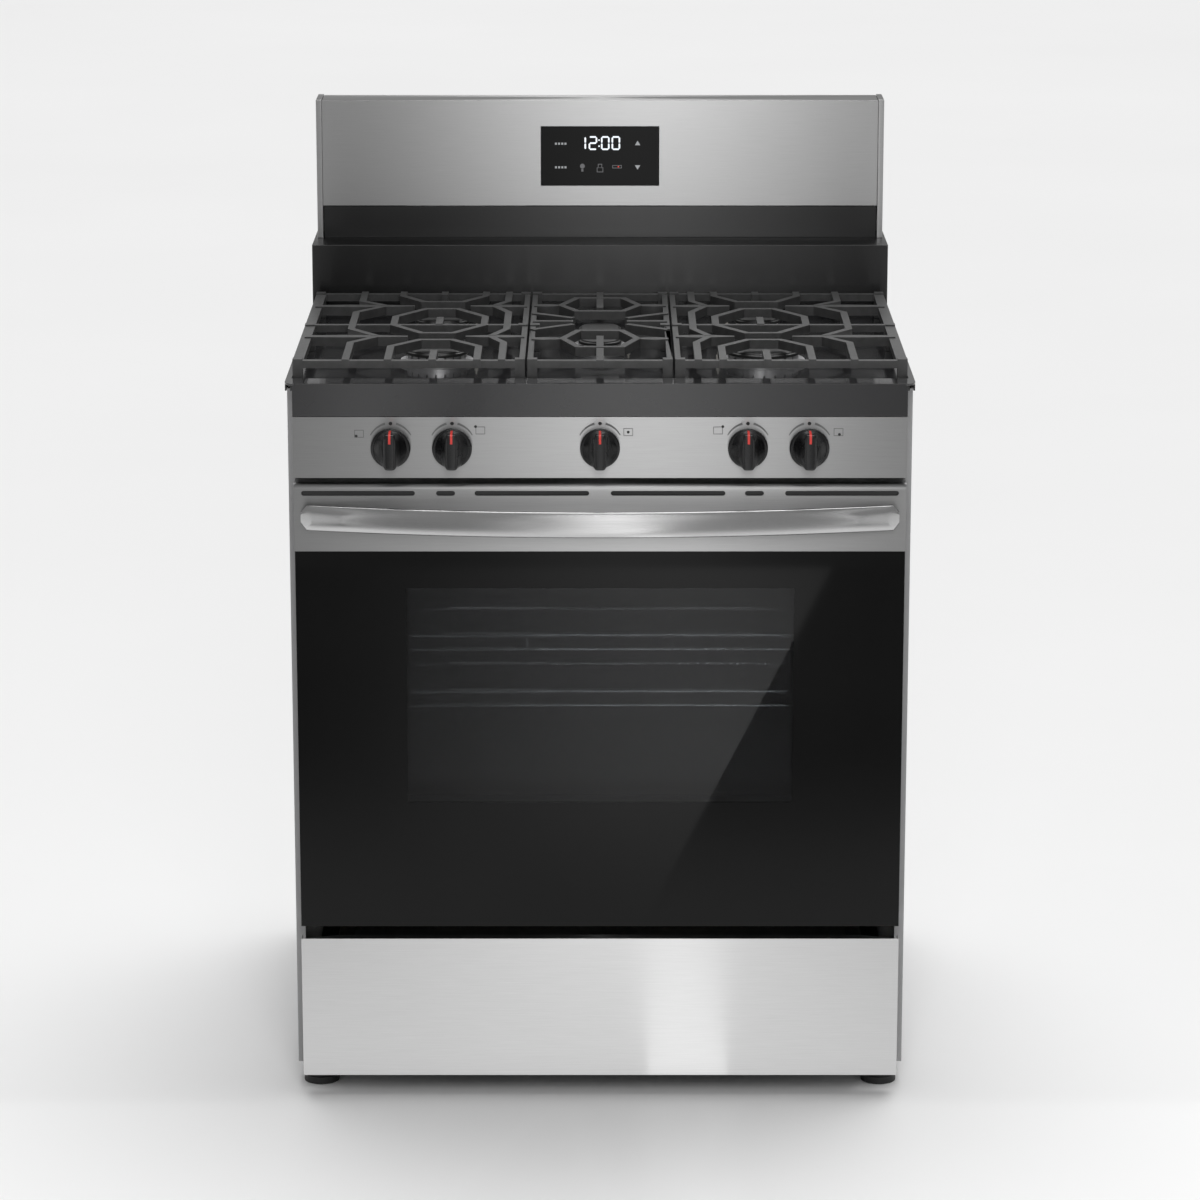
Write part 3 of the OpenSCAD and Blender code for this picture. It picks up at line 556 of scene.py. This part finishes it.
def make_studio():
    world = bpy.data.worlds.new("studio")
    scene.world = world
    world.use_nodes = True
    tree = world.node_tree
    sky = tree.nodes["Background"]
    sky.inputs["Color"].default_value = (1, 1, 1, 1)
    sky.inputs["Strength"].default_value = SKY_LIGHT
    seen = tree.nodes.new("ShaderNodeBackground")
    seen.inputs["Strength"].default_value = SKY_SEEN
    path = tree.nodes.new("ShaderNodeLightPath")
    mix = tree.nodes.new("ShaderNodeMixShader")
    tree.links.new(path.outputs["Is Camera Ray"], mix.inputs["Fac"])
    tree.links.new(sky.outputs["Background"], mix.inputs[1])
    tree.links.new(seen.outputs["Background"], mix.inputs[2])
    tree.links.new(mix.outputs["Shader"], tree.nodes["World Output"].inputs["Surface"])
    # A very soft sun from above and behind, a softbox in front, and a faint light in the oven
    sun = bpy.data.lights.new("daylight", "SUN")
    sun.energy = 2.3
    sun.angle = math.radians(60)
    lamp = bpy.data.objects.new("daylight", sun)
    scene.collection.objects.link(lamp)
    lamp.rotation_euler = (math.radians(-22), math.radians(6), 0)
    area_light("softbox", where=(0.12, -2.7, 1.9), aim=(0.05, 0, 0.9), size=(0.5, 1.2), power=14)
    area_light("oven_glow", where=(0, -0.02, 0.71), aim=(0, -0.02, 0.3), size=(0.4, 0.3), power=0.12)
    floor_reach = 40
    bm = bmesh.new()
    bmesh.ops.create_grid(bm, x_segments=1, y_segments=1, size=floor_reach)
    s = Shader("pale_floor", Roughness=0.9)
    s.colour(s.ramp(s.noise(0.6), [(0.3, 0.86), (0.7, 0.88)]))
    stage_mesh("floor", bm, s.mat)
    # A tall panel in front with a streak on its left, a pool of light on the floor with a darker flag
    # beside it, whose slanting edge shows in the door's glass, and a strip that the drawer reflects
    side, far, near, wall = 1.3, -3.4, -0.33, -2.5
    edge_far, edge_near = 0.49, -0.05
    level, strip_level = 0.01, 0.015
    strip_x, strip_far = (0.06, 0.16), -0.9

    def upright(x0, x1, z0, z1, y):
        return [(x0, y, z0), (x1, y, z0), (x1, y, z1), (x0, y, z1)]

    def flat(plan, z):
        return [(x, y, z) for x, y in plan]
    panel = glow("panel_glow", 1.25, centre=0.06, half=0.52, base=0.24)
    reflector("front_panel", upright(-side, side, 0.15, 2.4, wall), panel)
    streak = glow("streak_glow", 0.9, centre=-0.39, half=0.25, base=0.3)
    reflector("side_streak", upright(-0.7, -0.2, 0.3, 0.62, wall + 0.02), streak)
    pool = glow("pool_glow", 2.0, centre=0.15, half=0.9, base=0.04, near=1.05)
    plan = [(-side, far), (edge_far, far), (edge_near, near), (-side, near)]
    reflector("front_pool", flat(plan, level), pool)
    flag = glow("flag_dark", 0.3, centre=0.5, half=2.0, base=0.5, near=1.05)
    plan = [(edge_far, far), (side, far), (side, near), (edge_near, near)]
    reflector("front_flag", flat(plan, level), flag)
    strip = glow("strip_glow", 1.5, centre=0.11, half=0.14, base=0.72)
    x0, x1 = strip_x
    plan = [(x0, strip_far), (x1, strip_far), (x1, near), (x0, near)]
    reflector("drawer_strip", flat(plan, strip_level), strip)


# ---- Body ----

def dress_body():
    for side in ("side_panel_left", "side_panel_right"):
        finished(side, SIDE_PAINT, 0.0005)
    for node in ("rear_panel", "backguard_cover", "burner_box"):
        repaint(node, ZINC)
    repaint("base_frame", CHASSIS_PAINT)
    finished("front_frame", FRAME_BLACK, 0.0004)
    finished("hinge_arms", PLATED, 0.0006)
    repaint("drawer_rails", PLATED)
    finished("levelling_legs", FOOT_BLACK, 0.001)
    finished("control_panel", STEEL_FRONT_PAINTED_SHADE, 0.0009, 3)
    finished("backguard_head", STEEL_HEAD_PAINTED_SHADE, 0.0009, 3)
    finished("backguard_end_caps", STEEL_HEAD_PAINTED_SHADE, 0.0009, 3)
    finished("splash_panel", APRON_ENAMEL, 0.001, 3)
    repaint("control_board", BOARD)
    finished("rear_screws", PLATED, 0.0005)


def dress_oven():
    for node in ("oven_liner", "oven_floor"):
        repaint(node, OVEN_ENAMEL)
    repaint("oven_insulation", WOOL)
    finished("door_gasket", BRAID, 0.002, 3)
    for node in ("bake_burner", "broil_burner", "gas_manifold"):
        repaint(node, PLATED)
    for node in ("rack_guides", "oven_racks"):
        repaint(node, CHROME)
    repaint("oven_lamp", LAMP_CLEAR)
    repaint("gas_tubes", ALUMINIUM)
    repaint("gas_valves", BRASS)
    repaint("gas_regulator", ALUMINIUM)
    repaint("cord_bushing", FOOT_BLACK)


def dress_cooktop():
    finished("cooktop", COOKTOP_ENAMEL, 0.0022, 4)
    finished("burner_bases", ALUMINIUM, 0.0005)
    finished("burner_caps", CAP_ENAMEL, 0.001, 3)
    repaint("igniters", CERAMIC)
    for node in ("grate_left", "grate_middle", "grate_right"):
        finished(node, IRON, 0.0022, 3)


# ---- Knobs ----

def knob_bmesh(cx, cz, back):
    """Skirt disc with a ridge across it, whose flanks are hollowed."""
    bm = bmesh.new()
    # Radius and distance from the back, from the skirt's back edge to its front
    skirt = [(0.0236, 0.0), (0.024, 0.0005), (0.024, 0.0046), (0.0234, 0.0062), (0.0222, 0.0070),
             (0.0205, 0.0074)]
    rings = [[(cx + x, back - d, cz + z) for x, z in oval(r, r, 72)] for r, d in skirt]
    add_loft(bm, rings)
    # Half width, half height, distance from the back and squareness, from the ridge's foot to its top
    levels = [(0.0202, 0.0226, 0.0070, 2.0), (0.0190, 0.0228, 0.0085, 2.2), (0.0148, 0.0229, 0.0120, 2.7),
              (0.0112, 0.0228, 0.0165, 3.4), (0.0090, 0.0225, 0.0220, 4.2), (0.0079, 0.0220, 0.0270, 4.8),
              (0.0073, 0.0214, 0.0292, 4.8), (0.0064, 0.0205, 0.0302, 4.4), (0.0045, 0.0186, 0.0305, 4.0)]
    rings = [[(cx + x, back - d, cz + z) for x, z in oval(w, h, 96, p)] for w, h, d, p in levels]
    add_loft(bm, rings)
    return bm


def pointer_bmesh(cx, cz, back):
    """Painted line over the upper end of the ridge and down its front."""
    bm = bmesh.new()
    half, thick = 0.0014, 0.0008
    # Height above the knob's axis and distance from its back, along the line
    line = [(0.0232, 0.010), (0.0232, 0.0165), (0.0229, 0.0220), (0.0224, 0.0270), (0.0217, 0.0294),
            (0.0206, 0.03055), (0.0186, 0.0308), (0.0110, 0.0308)]
    rings = []
    for z, d in line:
        zi, di = z - thick, d - thick
        rings.append([(cx - half, back - di, cz + zi), (cx + half, back - di, cz + zi),
                      (cx + half, back - d, cz + z), (cx - half, back - d, cz + z)])
    add_loft(bm, rings)
    return bm


def make_knobs():
    for i in KNOBS:
        name = f"knob_{i}"
        cx, cz = middle(name)
        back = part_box(name)[1].y
        body, slot = body_of(name), slot_of(name)
        knob = from_bmesh(name + "_moulding", knob_bmesh(cx, cz, back), KNOB_BLACK, body, 50)
        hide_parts(name)
        from_bmesh(name + "_pointer", pointer_bmesh(cx, cz, back), RED_INK, body, 30)
        repaint(f"stem_{i}", PLATED)


# ---- Printed marks ----

def wedge(cx, cz, side):
    """Outline of the curved heat mark on one side of a knob's dot, in X and Z."""
    outer, inner = [], []
    steps = 14
    start, sweep = 13, 46
    for i in range(steps + 1):
        t = i / steps
        a = math.radians(start + sweep * t)
        r = 0.0296 - 0.0012 * t
        w = 0.0014 - 0.0008 * t
        outer.append((cx + side * (r + w) * math.sin(a), cz + (r + w) * math.cos(a)))
        inner.append((cx + side * (r - w) * math.sin(a), cz + (r - w) * math.cos(a)))
    return outer + inner[::-1]


def make_panel_marks():
    """A dot over each knob for off, a heat mark on each side of it, and a sign for its burner."""
    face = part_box("control_panel")[0].y
    depth = 0.00012
    dots, marks = bmesh.new(), bmesh.new()
    for i in KNOBS:
        cx, cz = middle(f"knob_{i}")
        add_dot(dots, cx, cz + 0.0290, 0.0022, face, depth)
        for side in (-1, 1):
            add_plate(marks, wedge(cx, cz, side), face, depth)
    # Each sign is a small cooktop outline: its place beside the knob, and the burner's place in it
    signs = {1: (-0.038, 0.0165, -0.3, -0.3), 2: (0.034, 0.0205, -0.5, 0.5), 3: (0.034, 0.0185, 0, 0),
             4: (-0.036, 0.0205, 0.5, 0.5), 5: (0.035, 0.0185, 0.1, -0.3)}
    w, h = 0.0115, 0.0095
    for i, (dx, dz, ux, uz) in signs.items():
        cx, cz = middle(f"knob_{i}")
        sx, sz = cx + dx, cz + dz
        add_frame(marks, sx, sz, w, h, 0.0008, face, depth)
        add_dot(dots, sx + ux * w, sz + uz * h, 0.0017, face, depth * 1.5)
    body = body_of("control_panel")
    from_bmesh("panel_dots", dots, BLACK_INK, body)
    from_bmesh("panel_marks", marks, GREY_INK, body)


SEGMENTS = {"0": "abcdef", "1": "bc", "2": "abged"}


def add_digit(bm, text, cx, cz, w, h, y):
    """One seven-segment digit, whose bars are pointed at both ends."""
    t = 0.0022
    level = {"a": 1, "g": 0, "d": -1}
    upright = {"f": (-1, 0.5), "b": (1, 0.5), "e": (-1, -0.5), "c": (1, -0.5)}
    for s in SEGMENTS[text]:
        if s in level:
            z = cz + level[s] * (h - t) / 2
            tip, shoulder = w / 2 - t * 0.6, w / 2 - t
            outline = [(cx - tip, z), (cx - shoulder, z - t / 2), (cx + shoulder, z - t / 2),
                       (cx + tip, z), (cx + shoulder, z + t / 2), (cx - shoulder, z + t / 2)]
        else:
            sx, sz = upright[s]
            x, z, reach = cx + sx * (w - t) / 2, cz + sz * (h - t) / 2, (h - t) / 4 - t * 0.1
            outline = [(x, z - reach), (x + t / 2, z - reach + t / 2), (x + t / 2, z + reach - t / 2),
                       (x, z + reach), (x - t / 2, z + reach - t / 2), (x - t / 2, z - reach + t / 2)]
        add_plate(bm, outline, y, PRINT)


def make_display():
    """Clock with generic signs. Places on the glass are shares of its width and height."""
    lo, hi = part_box("display_glass")
    finished("display_glass", DISPLAY_BLACK, 0.0006, 3)
    y = lo.y
    w, h = hi.x - lo.x, hi.z - lo.z
    body = body_of("display_glass")

    def at(u, v):
        return lo.x + u * w, lo.z + v * h
    # Time
    clock_v, digit_w, digit_h = 0.72, 0.0115, 0.0185
    digits = bmesh.new()
    for text, u in (("1", 0.345), ("2", 0.44), ("0", 0.545), ("0", 0.635)):
        add_digit(digits, text, *at(u, clock_v), digit_w, digit_h, y)
    cx, cz = at(0.492, clock_v)
    for dz in (-0.004, 0.004):
        add_dot(digits, cx, cz + dz, 0.0011, y, PRINT, 16)
    from_bmesh("clock_digits", digits, DIGIT_LIGHT, body)
    # Two rows of four bars in place of words, and two arrows
    icons = bmesh.new()
    for v in (0.71, 0.31):
        for k in range(4):
            add_patch(icons, *at(0.125 + k * 0.027, v), 0.0026, 0.0028, y, PRINT)
    for v, sign in ((0.72, 1), (0.31, -1)):
        cx, cz = at(0.82, v)
        foot, tip, half = cz - sign * 0.0028, cz + sign * 0.0032, 0.0036
        add_plate(icons, [(cx - half, foot), (cx + half, foot), (cx, tip)], y, PRINT)
    from_bmesh("touch_icons", icons, ICON_LIGHT, body)
    # Lamp, lock and timer
    dim = bmesh.new()
    cx, cz = at(0.35, 0.33)
    add_dot(dim, cx, cz, 0.0032, y, PRINT)
    add_patch(dim, cx, cz - 0.00535, 0.0028, 0.0037, y, PRINT)
    cx, cz = at(0.5, 0.28)
    add_frame(dim, cx, cz - 0.001, 0.0085, 0.0065, 0.0009, y, PRINT)
    add_frame(dim, cx, cz + 0.0042, 0.0055, 0.0055, 0.0009, y, PRINT)
    cx, cz = at(0.645, 0.32)
    add_frame(dim, cx, cz, 0.0125, 0.0042, 0.0008, y, PRINT)
    from_bmesh("dim_icons", dim, DIM_LIGHT, body)
    red = bmesh.new()
    add_dot(red, cx + 0.0018, cz, 0.0009, y, PRINT * 2, 14)
    from_bmesh("status_dot", red, RED_LIGHT, body)


# ---- Door ----

def make_handle():
    """Bowed bar with a soft, rounded section and rounded ends."""
    lo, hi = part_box("door_handle")
    half = (hi.x - lo.x) / 2
    thick, tall = 0.012, hi.z - lo.z
    gap = 0.0013
    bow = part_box("door_trim")[0].y - gap - thick - lo.y
    radius = (half * half + bow * bow) / (2 * bow)
    cz = (lo.z + hi.z) / 2
    reach = math.asin(half / radius)
    bm = bmesh.new()
    rings = []
    count = 96
    end_share = 0.008
    for i in range(count + 1):
        t = -1 + 2 * i / count
        a = reach * t
        end = max(0.0, (abs(t) - (1 - end_share)) / end_share)
        squeeze = math.sqrt(max(0.0, 1 - end * end * 0.75))
        mid = radius - thick / 2
        ring = []
        for u, v in oval(thick / 2 * squeeze, tall / 2 * squeeze, 40, 2.4):
            r = mid + u
            ring.append((r * math.sin(a), lo.y + radius - r * math.cos(a), cz + v))
        rings.append(ring)
    add_loft(bm, rings)
    bar = from_bmesh("handle_bar", bm, STEEL_HANDLE_PAINTED_LIGHT, body_of("door_handle"), 60)
    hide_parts("door_handle")
    finished("handle_spacers", PLATED, 0.0004)


def add_ring(bm, outer, inner, y0, y1):
    """A flat ring between two rectangles (x0, z0, x1, z1) in a plane that looks along -Y."""
    def corners(box, y):
        x0, z0, x1, z1 = box
        return [bm.verts.new(p) for p in ((x0, y, z0), (x1, y, z0), (x1, y, z1), (x0, y, z1))]
    fo, fi, bo, bi = corners(outer, y0), corners(inner, y0), corners(outer, y1), corners(inner, y1)
    for a in range(4):
        b = (a + 1) % 4
        for quad in ((fo[a], fo[b], fi[b], fi[a]), (bo[b], bo[a], bi[a], bi[b]),
                     (fo[b], fo[a], bo[a], bo[b]), (fi[a], fi[b], bi[b], bi[a])):
            bm.faces.new(quad)


def make_door():
    lo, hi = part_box("door_glass")
    win_lo, win_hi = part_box("door_inner_glass")
    body = body_of("door_glass")
    margin = 0.012
    x0, z0, x1, z1 = window = (win_lo.x + margin, win_lo.z + margin, win_hi.x - margin, win_hi.z - margin)
    # Outer pane: printed black around the window, tinted in it
    bm = bmesh.new()
    add_ring(bm, (lo.x, lo.z, hi.x, hi.z), window, lo.y, hi.y)
    border = from_bmesh("door_pane_border", bm, DOOR_BLACK, body)
    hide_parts("door_glass")
    bm = bmesh.new()
    add_box(bm, (x0, lo.y, z0), (x1, hi.y, z1))
    from_bmesh("door_pane_window", bm, DOOR_TINT, body)
    finished("door_trim", STEEL_FRONT_PAINTED_SHADE, 0.0014, 4)
    # Black tunnel between the panes
    outside, wall, clear = 0.0038, 0.0008, 0.0004
    bm = bmesh.new()
    outer, inner = ((x0 - d, z0 - d, x1 + d, z1 + d) for d in (outside, outside - wall))
    add_ring(bm, outer, inner, hi.y + clear, win_lo.y - clear)
    from_bmesh("window_tunnel", bm, FRAME_BLACK, body)
    # Black sheets behind the vents, one on each side of the middle: painted shade that stands in for the dark
    # inside of the vents
    trim_lo, trim_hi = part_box("door_trim")
    centre, half = 0.19, 0.1785
    y, z = (trim_lo.y + 0.0012, trim_lo.y + 0.0030), (trim_hi.z - 0.020, trim_hi.z - 0.0085)
    bm = bmesh.new()
    for side in (-1, 1):
        add_box(bm, (side * centre - half, y[0], z[0]), (side * centre + half, y[1], z[1]))
    from_bmesh("vent_painted_shade", bm, FOOT_BLACK, body, bevel=0.0004)
    finished("door_frame", FRAME_BLACK, 0.0004)
    finished("door_liner", OVEN_ENAMEL, 0.0008)
    repaint("door_inner_glass", INNER_CLEAR)
    repaint("door_insulation", WOOL)
    repaint("hinge_pins", PLATED)
    make_handle()


def make_drawer():
    finished("drawer_front", STEEL_DRAWER_PAINTED_LIGHT, 0.0009, 3)
    repaint("drawer_box", ZINC)
    repaint("drawer_glides", NYLON)


scene.view_settings.view_transform = "Standard"
make_camera()
make_studio()
dress_body()
dress_oven()
dress_cooktop()
make_knobs()
make_panel_marks()
make_display()
make_door()
make_drawer()
